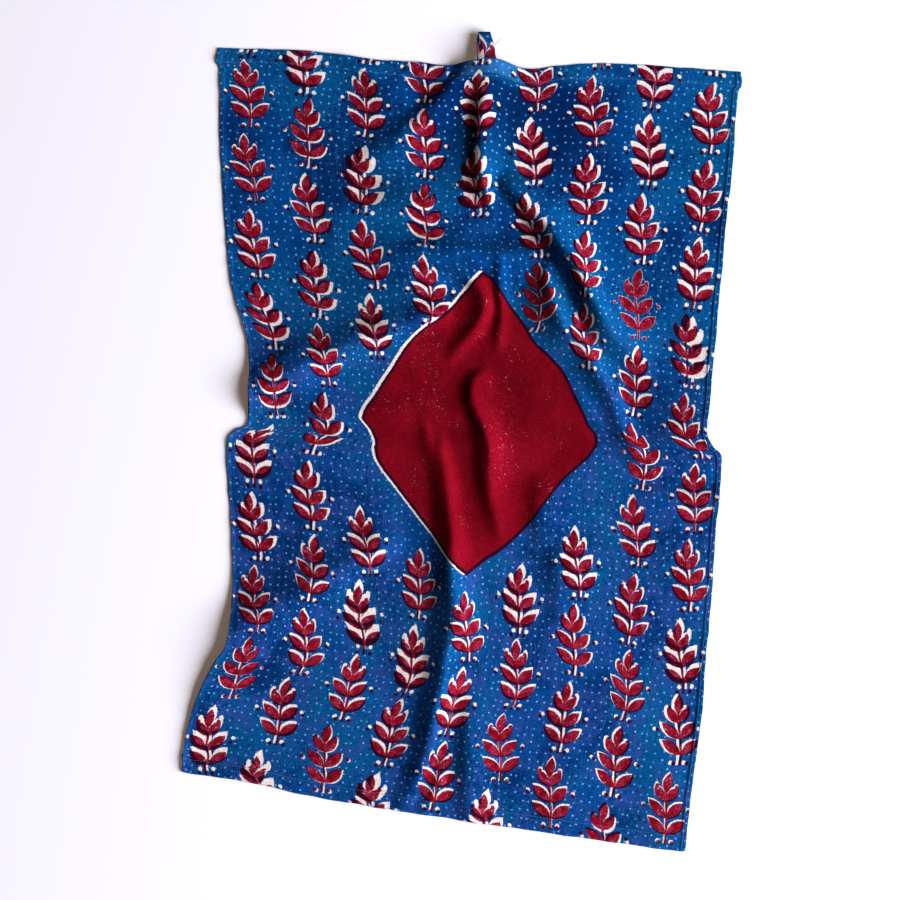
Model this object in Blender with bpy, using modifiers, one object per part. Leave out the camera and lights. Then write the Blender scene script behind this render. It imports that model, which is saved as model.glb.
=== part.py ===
"""Tea towel lying rumpled on a table: one hemmed sheet of printed cotton, and its hanging loop.

Seen from above, +Y runs towards the edge with the loop and +X to the right. The table is z = 0,
and the origin is the middle of the object's footprint. The cloth is a sheet whose underside
follows one height function: low swells, plus ridges that each run along a crest.
"""

from collections import namedtuple

import bmesh
import bpy
import numpy as np
from mathutils import Vector
from mathutils.bvhtree import BVHTree

MM = 0.001

# Driving dimensions. The towel measures 500 by 750 mm when it is pressed flat.
CLOTH_THICKNESS = 1.5 * MM
LOOP_THICKNESS = 1.2 * MM
LOOP_WIDTH = 11.0 * MM
TOUCHING_GAP = 0.3 * MM

# The sheet's grid, in cells across the towel and along it
CELLS_ACROSS = 52
CELLS_ALONG = 76
LOOP_CELLS_ACROSS = 2

# How a fold's side runs out at its foot, from a long run-out to a sharp crease: exponents
BROAD, SOFT, FIRM, SHARP = 2.8, 2.0, 1.5, 1.2
# Radius of a fold's crest, in mm
KNIFE, BLUNT, ROUND = 8.0, 12.0, 25.0
# Every fold stands on a low swell: its share of the rise, and its width in reaches of the fold
SWELL_SHARE, SWELL_REACH = 0.12, 2.4
# How folds that meet are joined: 1 would add them up, a high number keeps the taller one
JOINING = 3.0
# Share by which each corner of the grid moves to the mean height of its neighbours
EASING = 0.5
# Height under which the cloth lies flat on the table, in mm
LYING = 0.5
# Least reach of a fold's side, in mm: a steeper side would fall between the grid's lines
LEAST_REACH = 15.0
# Steps of the smooth curves between two rows of a table
FOLD_STEPS, EDGE_STEPS, STRIP_STEPS = 8, 24, 4

# The outline in the plan, x and y in mm, each edge from one corner to the next
TOP_EDGE = (
    (-223, 361), (-185, 360), (-148, 359), (-111, 355), (-84, 351), (-56, 349), (-29, 347),
    (-9, 345), (15, 348), (33, 348), (61, 342), (90, 345), (127, 347), (173, 345), (219, 342),
    (256, 339),
)
RIGHT_EDGE = (
    (256, 339), (254, 309), (248, 249), (244, 213), (237, 139), (232, 89), (227, 39), (224, 17),
    (224, 5), (230, -5), (237, -13), (238, -35), (234, -65), (232, -99), (229, -145),
    (225, -186), (219, -260), (211, -319), (205, -375),
)
BOTTOM_EDGE = (
    (-256, -299), (-251, -303), (-194, -312), (-130, -326), (-24, -343), (99, -361),
    (191, -374), (205, -375),
)
LEFT_EDGE = (
    (-223, 361), (-224, 350), (-221, 268), (-215, 176), (-210, 139), (-199, 103), (-194, 72),
    (-195, 39), (-197, 17), (-207, 12), (-215, 1), (-214, -35), (-211, -81), (-210, -122),
    (-211, -163), (-216, -186), (-228, -204), (-239, -226), (-249, -255), (-254, -278),
    (-256, -299),
)

# Low swells under the folded middle: x, y, rise, half width across, half width along, in mm
SWELLS = (
    (-50, 150, 6, 135, 110),
    (-66, 224, 3, 60, 42),
    (90, 57, 5, 110, 92),
)

# A fold's rows follow its crest: x, y, rise, and how far its side reaches to the left and to the
# right of someone who walks along the crest, in mm. The feet are the exponents of those two sides.
Fold = namedtuple("Fold", "name left_foot right_foot crest rows")
FOLDS = (
    Fold("top ridge", FIRM, SOFT, KNIFE, (
        (34, 200, 0, 8, 5),
        (30.5, 207, 8, 14, 7),
        (25.5, 221, 11, 18, 9),
        (22, 236, 13, 20, 14),
        (19, 250, 13, 20, 22),
        (19, 270, 12, 19, 28),
        (19.5, 300, 9, 15, 30),
        (20, 322, 8, 14, 30),
        (20, 338, 8, 18, 34),
        (17, 364, 8, 24, 40),
    )),
    Fold("hem lift", SOFT, SOFT, ROUND, (
        (-24, 346, 0, 20, 16),
        (-8, 346, 6, 30, 26),
        (6, 346, 13, 34, 32),
        (20, 345, 14.5, 34, 34),
        (34, 345, 13, 34, 32),
        (48, 344, 6, 30, 26),
        (66, 343, 0, 20, 16),
    )),
    Fold("shoulder", SOFT, SOFT, BLUNT, (
        (-142, 230, 0, 20, 33),
        (-106, 247, 3, 22, 44),
        (-58, 278, 6, 20, 44),
        (-32, 302, 9, 15, 36),
        (-16, 320, 9.5, 13, 28),
        (0, 339, 7, 11, 20),
        (8, 356, 5, 11, 17),
    )),
    Fold("lapel", SOFT, SOFT, BLUNT, (
        (-126, 376, 2, 15, 18),
        (-96, 345, 3, 15, 20),
        (-64, 322, 4, 13, 22),
        (-36, 304, 2, 11, 18),
    )),
    Fold("great ridge", SHARP, SOFT, KNIFE, (
        (184, 46, 0, 9, 20),
        (168, 65, 5, 12, 34),
        (151, 84, 10, 16, 38),
        (136, 102, 14, 20, 40),
        (126, 117, 18, 18, 40),
        (118, 132, 20, 17, 40),
        (111, 148, 20, 18, 38),
        (101, 165, 20, 18, 34),
        (87, 186, 18, 17, 34),
        (73, 204, 15, 15, 38),
        (60, 216, 13, 13, 38),
        (46, 229, 10, 11, 36),
        (30, 248, 0, 8, 24),
    )),
    Fold("inner ridge", SOFT, SHARP, KNIFE, (
        (196, -24, 0, 8, 8),
        (173, -18, 5, 14, 12),
        (161, -10, 7, 18, 15),
        (152, 2, 8, 20, 15),
        (146, 16, 9, 22, 15),
        (141, 34, 10, 24, 12),
        (133, 51, 10, 26, 9),
        (124, 69, 10, 28, 8),
        (114, 85, 10, 30, 7),
        (103, 97, 12, 36, 7),
        (93, 108, 16, 40, 12),
        (86, 123, 17, 38, 13),
        (81, 142, 15, 32, 11),
        (78, 158, 9, 24, 8),
        (77, 168, 0, 12, 5),
    )),
    Fold("hook", SOFT, SOFT, KNIFE, (
        (-14, 70, 0, 9, 9),
        (-5, 85, 4, 12, 10),
        (7, 97, 7, 15, 10),
        (16, 109, 9, 17, 10),
        (21, 124, 9, 17, 9),
        (18, 139, 8, 15, 9),
        (6, 150, 5, 12, 9),
        (-14, 158, 0, 9, 9),
    )),
    Fold("middle pleat", SOFT, SOFT, KNIFE, (
        (32, 78, 0, 6, 9),
        (34, 95, 4, 7, 12),
        (35, 128, 6, 8, 13),
        (35, 155, 5, 8, 12),
        (36, 178, 0, 6, 9),
    )),
    Fold("brow", SOFT, SOFT, BLUNT, (
        (-100, 222, 0, 44, 14),
        (-60, 218, 6, 50, 18),
        (-11, 214, 7, 50, 18),
        (30, 209, 7, 24, 16),
        (60, 203, 0, 12, 9),
    )),
    Fold("left ridge", BROAD, SHARP, BLUNT, (
        (-224, 13, 1, 30, 16),
        (-210, 26, 5, 40, 20),
        (-196, 39, 9, 48, 20),
        (-180, 53, 12, 54, 19),
        (-150, 67, 14, 56, 18),
        (-120, 80, 14, 52, 17),
        (-87, 93, 13, 46, 16),
        (-54, 105, 11, 40, 15),
        (-30, 114, 9, 30, 14),
        (-4, 124, 0, 20, 12),
    )),
    Fold("waist", SOFT, SOFT, ROUND, (
        (-157, 20, 0, 24, 17),
        (-111, 24, 3, 28, 18),
        (-56, 25, 4, 28, 18),
        (-11, 22, 3, 24, 15),
        (11, 20, 0, 17, 11),
    )),
    Fold("lower left ridge", SOFT, SHARP, BLUNT, (
        (-243, -207, 7, 36, 50),
        (-218, -184, 10, 40, 42),
        (-197, -167, 12, 42, 32),
        (-170, -151, 12, 44, 24),
        (-138, -134, 11, 44, 20),
        (-102, -113, 9, 40, 17),
        (-73, -96, 7, 30, 15),
        (-50, -84, 0, 18, 11),
    )),
    Fold("lower left lift", SOFT, SOFT, ROUND, (
        (-269, -299, 1.5, 18, 24),
        (-256, -269, 2.5, 18, 34),
        (-244, -237, 4, 20, 40),
        (-235, -209, 4, 24, 40),
        (-227, -191, 0, 24, 28),
    )),
    Fold("long pleat", SHARP, SOFT, KNIFE, (
        (-60, -343, 0, 12, 8),
        (-42, -311, 5, 15, 12),
        (-30, -280, 9, 18, 15),
        (-23, -240, 12, 20, 20),
        (-14, -200, 14, 22, 32),
        (-9, -163, 15, 22, 36),
        (-8, -126, 15, 21, 30),
        (-9, -90, 13, 20, 18),
        (-11, -53, 12, 18, 14),
        (-16, -12, 8, 18, 10),
        (-22, 18, 0, 14, 7),
    )),
    Fold("upper pleat", SOFT, SHARP, KNIFE, (
        (-16, -60, 0, 10, 6),
        (-21, -34, 4, 14, 9),
        (-27, -8, 5, 16, 9),
        (-33, 18, 4, 14, 8),
        (-40, 34, 0, 10, 6),
    )),
    Fold("bottom pleat", SOFT, SOFT, BLUNT, (
        (5, -358, 4, 15, 31),
        (7, -319, 5, 16, 33),
        (7, -273, 5, 16, 31),
        (8, -227, 0, 13, 22),
    )),
    Fold("belly pleat", SOFT, SOFT, KNIFE, (
        (38, -92, 0, 10, 16),
        (30, -66, 6, 14, 22),
        (26, -40, 10, 18, 26),
        (25, -10, 12, 20, 24),
        (23, 10, 12, 18, 22),
        (16, 24, 10, 15, 24),
        (9, 38, 9, 12, 30),
        (9, 52, 8, 10, 30),
        (17, 62, 5, 9, 24),
        (30, 68, 0, 8, 18),
    )),
    Fold("short pleat", SOFT, SOFT, BLUNT, (
        (77, -105, 0, 15, 22),
        (73, -64, 5, 20, 31),
        (68, -26, 0, 15, 22),
    )),
    Fold("low pleat", SOFT, SOFT, BLUNT, (
        (93, -182, 0, 17, 24),
        (90, -127, 5, 22, 40),
        (85, -84, 0, 15, 24),
    )),
    Fold("right ridge", BROAD, SHARP, ROUND, (
        (127, 20, 0, 55, 28),
        (164, 17, 5, 83, 37),
        (200, 14, 11, 101, 39),
        (224, 12, 15, 110, 39),
        (255, 10, 16, 110, 39),
    )),
    Fold("right fold", SOFT, BROAD, KNIFE, (
        (150, -44, 0, 10, 26),
        (180, -47, 5, 12, 40),
        (223, -50, 9, 14, 48),
        (255, -52, 10, 14, 48),
    )),
)
# Folds that lie across the others and add to their height
CROSSING_FOLDS = (
    Fold("under brow", SOFT, SOFT, BLUNT, (
        (-92, 182, 0, 15, 30),
        (-38, 175, 8, 17, 42),
        (17, 172, 11, 18, 46),
        (52, 169, 9, 16, 34),
        (76, 166, 0, 12, 18),
    )),
)

# The loop's strip between its two feet: x, y and z of its middle line in mm, and its turn in
# degrees. It leaves the hem face up, bends down and back at the tip, and returns on its edge.
LOOP_FREE = (
    (26.1, 353, 10.6, 0),
    (25.4, 359, 10.4, 0),
    (22.9, 366, 10.1, 0),
    (21.4, 371, 9.6, 0),
    (21.0, 374.2, 7.4, 0),
    (20.6, 373.2, 4.6, 6),
    (19.4, 369, 4.0, 22),
    (17.2, 363, 4.8, 50),
    (15.4, 357, 5.8, 78),
    (14.9, 353, 6.2, 90),
)
# The feet lie under the hem, from its edge to this far down the towel
FACE_FOOT_X = 26.2 * MM
EDGE_FOOT_X = 14.9 * MM
HEM_EDGE_Y = 349.0 * MM
FOOT_END_Y = 341.0 * MM
FACE_TURN, EDGE_TURN = 0, 90
# Rays that look for the underside over a foot: how many each way, and the height they start from
FOOT_RAYS = 9
RAY_START = -10 * MM

INDIGO = (0.006, 0.055, 0.20, 1.0)
MADDER = (0.17, 0.006, 0.018, 1.0)
COTTON_ROUGHNESS = 0.9


def through(rows, steps):
    """Smooth curve through the rows: every column follows a cubic whose slope at a row is
    half the difference of its two neighbours."""
    rows = np.array(rows, dtype=float)
    slope = np.gradient(rows, axis=0)
    u = np.linspace(0.0, 1.0, steps, endpoint=False)[None, :, None]
    start, end = rows[:-1, None], rows[1:, None]
    spans = (
        start * (2 * u**3 - 3 * u**2 + 1)
        + slope[:-1, None] * (u**3 - 2 * u**2 + u)
        + end * (3 * u**2 - 2 * u**3)
        + slope[1:, None] * (u**3 - u**2)
    )
    return np.vstack([spans.reshape(-1, rows.shape[1]), rows[-1:]])


def fold_height(x, y, fold):
    """Rise over a fold: most of the crest's rise times (1 - t) to the power of the side's foot.
    t runs from 0 at the crest to 1 at the side's reach, as a hyperbola, so that the crest is
    round. The rest of the rise is a swell, (1 - q squared) squared, where q is the distance
    over the swell's width."""
    crest = np.clip(through(fold.rows, FOLD_STEPS), (-np.inf, -np.inf, 0, 0, 0), np.inf)
    start, step = crest[:-1], np.diff(crest, axis=0)
    px, py = x[:, None] - start[:, 0], y[:, None] - start[:, 1]
    length = (step[:, :2] ** 2).sum(axis=1)
    along = np.clip((px * step[:, 0] + py * step[:, 1]) / length, 0.0, 1.0)
    dx, dy = px - along * step[:, 0], py - along * step[:, 1]
    away = np.hypot(dx, dy)
    point = np.arange(len(x))
    nearest = away.argmin(axis=1)
    along, away = along[point, nearest], away[point, nearest]
    on_left = (step[:, 0] * dy - step[:, 1] * dx)[point, nearest] > 0
    rise, left, right = (start[nearest, 2:] + along[:, None] * step[nearest, 2:]).T
    reach = np.maximum(np.where(on_left, left, right), LEAST_REACH)
    t = (np.hypot(away, fold.crest) - fold.crest) / (np.hypot(reach, fold.crest) - fold.crest)
    steep = np.clip(1 - t, 0, None) ** np.where(on_left, fold.left_foot, fold.right_foot)
    swell = np.clip(1 - (away / (reach * SWELL_REACH)) ** 2, 0, None) ** 2
    return rise * ((1 - SWELL_SHARE) * steep + SWELL_SHARE * swell)


def cloth_height(x, y):
    """Height of the cloth's underside in mm at plan points in mm: the folds joined by a power
    mean, on top of the swells, each rise times (1 - q) squared over its ellipse q < 1, with the
    crossing folds added. What would stand lower than LYING lies on the table."""
    height = sum(fold_height(x, y, fold) ** JOINING for fold in FOLDS) ** (1 / JOINING)
    for cx, cy, rise, across, along in SWELLS:
        q = ((x - cx) / across) ** 2 + ((y - cy) / along) ** 2
        height = height + rise * np.clip(1 - q, 0, None) ** 2
    height = height + sum(fold_height(x, y, fold) for fold in CROSSING_FOLDS)
    return np.clip(height - LYING, 0, None)


def edge_points(table, share):
    """Points of an edge at the given shares of its length."""
    curve = through(table, EDGE_STEPS)
    length = np.concatenate([[0], np.hypot(*np.diff(curve, axis=0).T).cumsum()])
    return np.stack([np.interp(share * length[-1], length, curve[:, k]) for k in (0, 1)], axis=-1)


def plan_of_cloth(s, t):
    """Plan of the cloth: s runs from its left edge to its right, t from its top to its bottom.
    Each point is the mean between left and right, plus that between top and bottom, less the
    mean of the four corners, so that the four edges are met exactly."""
    top, bottom = edge_points(TOP_EDGE, s), edge_points(BOTTOM_EDGE, s)
    left, right = edge_points(LEFT_EDGE, t), edge_points(RIGHT_EDGE, t)
    s, t = s[:, None], t[:, None]
    corners = (1 - t) * ((1 - s) * TOP_EDGE[0] + s * TOP_EDGE[-1])
    corners = corners + t * ((1 - s) * BOTTOM_EDGE[0] + s * BOTTOM_EDGE[-1])
    return (1 - t) * top + t * bottom + (1 - s) * left + s * right - corners


def fabric(name, colour):
    """Matt cotton of one plain colour."""
    material = bpy.data.materials.new(name)
    material.use_nodes = True
    shader = material.node_tree.nodes["Principled BSDF"]
    shader.inputs["Base Color"].default_value = colour
    shader.inputs["Roughness"].default_value = COTTON_ROUGHNESS
    shader.inputs["Metallic"].default_value = 0.0
    return material


def flat_grid(name, cells_x, cells_y, collection, material):
    """A grid from 0 to 1 in x and y, ready to be bent, with its cells' corners as an array."""
    bpy.ops.mesh.primitive_grid_add(x_subdivisions=cells_x, y_subdivisions=cells_y, size=1)
    sheet = bpy.context.object
    sheet.name = sheet.data.name = name
    for old in sheet.users_collection:
        old.objects.unlink(sheet)
    collection.objects.link(sheet)
    sheet.data.materials.append(material)
    points = np.empty(len(sheet.data.vertices) * 3)
    sheet.data.vertices.foreach_get("co", points)
    return sheet, points.reshape(-1, 3)[:, :2] + 0.5


def cut_cells(sheet):
    """Cuts every cell in two along its more level diagonal, so that a crease stays a clean line."""
    grid = bmesh.new()
    grid.from_mesh(sheet.data)
    cells = {"FIXED": [], "ALTERNATE": []}
    for cell in grid.faces:
        a, b, c, d = (corner.co.z for corner in cell.verts)
        cells["FIXED" if abs(a - c) < abs(b - d) else "ALTERNATE"].append(cell)
    for method, faces in cells.items():
        bmesh.ops.triangulate(grid, faces=faces, quad_method=method)
    grid.to_mesh(sheet.data)
    grid.free()


def thicken(sheet, points, thickness, offset):
    """Moves the grid to its place, and gives the cloth its thickness."""
    sheet.data.vertices.foreach_set("co", np.ascontiguousarray(points).ravel())
    cut_cells(sheet)
    sheet.data.shade_smooth()
    solidify = sheet.modifiers.new("cloth thickness", "SOLIDIFY")
    solidify.thickness = thickness
    solidify.offset = offset


def make_cloth(collection):
    """The towel: its underside lies on the height function, and touches the table where that is
    zero."""
    material = fabric("printed cotton", INDIGO)
    sheet, grid = flat_grid("towel_cloth", CELLS_ACROSS, CELLS_ALONG, collection, material)
    plan = plan_of_cloth(grid[:, 0], 1 - grid[:, 1])
    height = cloth_height(plan[:, 0], plan[:, 1])
    ease = sheet.modifiers.new("eased creases", "SMOOTH")
    ease.use_x = False
    ease.use_y = False
    ease.factor = EASING
    thicken(sheet, np.column_stack([plan, height]) * MM, CLOTH_THICKNESS, 1.0)
    return sheet


def lowest_underside(cloth, middle_x, half_width):
    """Lowest point of the cloth's underside over a foot of the loop, of those that it covers."""
    bpy.context.view_layer.update()
    tree = BVHTree.FromObject(cloth, bpy.context.evaluated_depsgraph_get())
    up = Vector((0.0, 0.0, 1.0))
    across = np.linspace(middle_x - half_width, middle_x + half_width, FOOT_RAYS)
    down = np.linspace(FOOT_END_Y, HEM_EDGE_Y, FOOT_RAYS)
    hits = (tree.ray_cast(Vector((x, y, RAY_START)), up)[0] for x in across for y in down)
    return min(hit.z for hit in hits if hit is not None)


def strip_points(stations, share, across):
    """Points of a strip: its middle line follows the stations, and across it runs a line of the
    strip's width, which leans down by the station's turn."""
    path = through(stations, STRIP_STEPS)
    at = share * (len(path) - 1)
    middle = np.stack([np.interp(at, np.arange(len(path)), path[:, k]) for k in range(3)], axis=-1)
    turn = np.radians(np.interp(at, np.arange(len(path)), path[:, 3]))
    lean = np.stack([np.cos(turn), np.zeros_like(turn), -np.sin(turn)], axis=-1)
    return middle * MM + lean * ((across - 0.5) * LOOP_WIDTH)[:, None]


def make_loop(collection, cloth):
    """The hanging loop: a strip of the same cloth, whose two ends lie under the hem."""
    half = LOOP_WIDTH / 2
    face_z = lowest_underside(cloth, FACE_FOOT_X, half) - TOUCHING_GAP - LOOP_THICKNESS / 2
    edge_z = lowest_underside(cloth, EDGE_FOOT_X, LOOP_THICKNESS) - TOUCHING_GAP - half
    face_foot = [
        (FACE_FOOT_X / MM, y / MM, face_z / MM, FACE_TURN) for y in (FOOT_END_Y, HEM_EDGE_Y)
    ]
    edge_foot = [
        (EDGE_FOOT_X / MM, y / MM, edge_z / MM, EDGE_TURN) for y in (HEM_EDGE_Y, FOOT_END_Y)
    ]
    stations = (*face_foot, *LOOP_FREE, *edge_foot)
    cells = (len(stations) - 1) * STRIP_STEPS
    material = fabric("loop cotton", MADDER)
    strip, grid = flat_grid("hanging_loop", LOOP_CELLS_ACROSS, cells, collection, material)
    points = strip_points(stations, grid[:, 1], grid[:, 0])
    thicken(strip, points, LOOP_THICKNESS, 0.0)


def main():
    for old in list(bpy.data.objects):
        bpy.data.objects.remove(old, do_unlink=True)
    collection = bpy.data.collections.new("tea_towel")
    bpy.context.scene.collection.children.link(collection)
    cloth = make_cloth(collection)
    make_loop(collection, cloth)


main()
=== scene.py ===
# %% [markdown]
# # A rumpled tea towel
# This lesson dresses a printed cotton tea towel that lies rumpled on a pale table. The solids
# that carry it are loaded first and never move. Everything that shows is then worked out with
# numpy: a shape is a function of two parameters, computed for a whole grid at once.

# %% Load the solids
import math
from collections import namedtuple

import bpy
import numpy as np
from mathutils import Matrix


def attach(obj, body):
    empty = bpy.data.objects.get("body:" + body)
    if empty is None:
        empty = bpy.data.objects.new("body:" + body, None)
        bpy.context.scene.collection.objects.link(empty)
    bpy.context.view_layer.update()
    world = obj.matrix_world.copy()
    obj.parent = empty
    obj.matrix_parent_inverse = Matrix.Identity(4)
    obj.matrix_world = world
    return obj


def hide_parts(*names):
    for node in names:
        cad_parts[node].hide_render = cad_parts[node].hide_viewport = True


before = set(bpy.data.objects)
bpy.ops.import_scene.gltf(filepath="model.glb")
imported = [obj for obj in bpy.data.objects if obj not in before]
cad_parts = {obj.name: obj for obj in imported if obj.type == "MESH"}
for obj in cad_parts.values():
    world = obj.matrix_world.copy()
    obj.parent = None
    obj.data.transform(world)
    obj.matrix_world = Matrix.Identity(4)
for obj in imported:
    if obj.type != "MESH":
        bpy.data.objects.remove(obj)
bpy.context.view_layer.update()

MM = 0.001

# %% [markdown]
# ## The outline
# The towel was cut as a rectangle, but its folds draw its edges in, so each edge is a gentle
# curve. Each curve is a short table of points that a smooth cubic passes through. The four
# curves could also be drawn by hand as Bezier curves. A table is easier to correct.

# %% The four edges, x and y in mm, each from one corner to the next
TOP_EDGE = (
    (-223, 361), (-185, 360), (-148, 359), (-111, 355), (-84, 351), (-56, 349), (-29, 347),
    (-9, 345), (15, 348), (33, 348), (61, 342), (90, 345), (127, 347), (173, 345), (219, 342),
    (256, 339),
)
RIGHT_EDGE = (
    (256, 339), (257, 331), (256, 325), (253.4, 321), (252.6, 309), (248, 249), (244, 213),
    (237, 139), (232, 89), (227, 39), (224, 17), (224, 5), (230, -5), (237, -13), (238, -35),
    (234, -65), (232, -99), (229, -145), (225, -186), (219, -260), (211, -319), (205, -375),
)
BOTTOM_EDGE = (
    (-256, -299), (-251, -303), (-194, -312), (-130, -326), (-24, -343), (99, -361),
    (191, -374), (205, -375),
)
LEFT_EDGE = (
    (-223, 361), (-225.5, 352), (-225, 347), (-222.6, 344), (-222, 330), (-221, 268),
    (-215, 176), (-210, 139), (-199, 103), (-194, 72), (-195, 39), (-197, 17), (-207, 12),
    (-215, 1), (-214, -35), (-211, -81), (-210, -122), (-211, -163), (-216, -186), (-228, -204),
    (-239, -226), (-249, -255), (-254, -278), (-256, -299),
)


def through(rows, steps):
    """Smooth curve through the rows: every column follows a cubic whose slope at a row is
    half the difference of its two neighbours."""
    rows = np.array(rows, dtype=float)
    slope = np.gradient(rows, axis=0)
    u = np.linspace(0.0, 1.0, steps, endpoint=False)[None, :, None]
    start, end = rows[:-1, None], rows[1:, None]
    spans = (
        start * (2 * u**3 - 3 * u**2 + 1)
        + slope[:-1, None] * (u**3 - 2 * u**2 + u)
        + end * (3 * u**2 - 2 * u**3)
        + slope[1:, None] * (u**3 - u**2)
    )
    return np.vstack([spans.reshape(-1, rows.shape[1]), rows[-1:]])


EDGE_STEPS = 24


def edge_points(table, share):
    """Points of an edge at the given shares of its length."""
    curve = through(table, EDGE_STEPS)
    length = np.concatenate([[0], np.hypot(*np.diff(curve, axis=0).T).cumsum()])
    return np.stack([np.interp(share * length[-1], length, curve[:, k]) for k in (0, 1)], axis=-1)


def plan_of_cloth(s, t):
    """Plan of the cloth: s runs from its left edge to its right, t from its top to its bottom.
    Each point is the mean between left and right, plus that between top and bottom, less the
    mean of the four corners, so that the four edges are met exactly."""
    top, bottom = edge_points(TOP_EDGE, s), edge_points(BOTTOM_EDGE, s)
    left, right = edge_points(LEFT_EDGE, t), edge_points(RIGHT_EDGE, t)
    s, t = s[..., None], t[..., None]
    corners = (1 - t) * ((1 - s) * TOP_EDGE[0] + s * TOP_EDGE[-1])
    corners = corners + t * ((1 - s) * BOTTOM_EDGE[0] + s * BOTTOM_EDGE[-1])
    return (1 - t) * top + t * bottom + (1 - s) * left + s * right - corners


print("edges in mm:", [round(float(np.hypot(*np.diff(through(e, EDGE_STEPS), axis=0).T).sum()))
                       for e in (TOP_EDGE, RIGHT_EDGE, BOTTOM_EDGE, LEFT_EDGE)])

# %% [markdown]
# ## The folds
# A lone cloth that was dropped and tugged stands in ridges. Each ridge has a crest line, and
# its two sides differ: one may run out softly while the other ends in a crease. A cloth
# simulation would give other folds than these, so each one is placed one by one. A row of a table
# says where the crest is, how high it is, and how far its two sides reach.

# %% The folds
# How a side runs out at its foot, from a long run-out to a sharp crease
BROAD, SOFT, FIRM, SHARP = 2.8, 2.0, 1.5, 1.2
# Radius of a crest, in mm
KNIFE, BLUNT, ROUND = 2.0, 8.0, 25.0
JOINING = 3.0
FOLD_STEPS = 10
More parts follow.
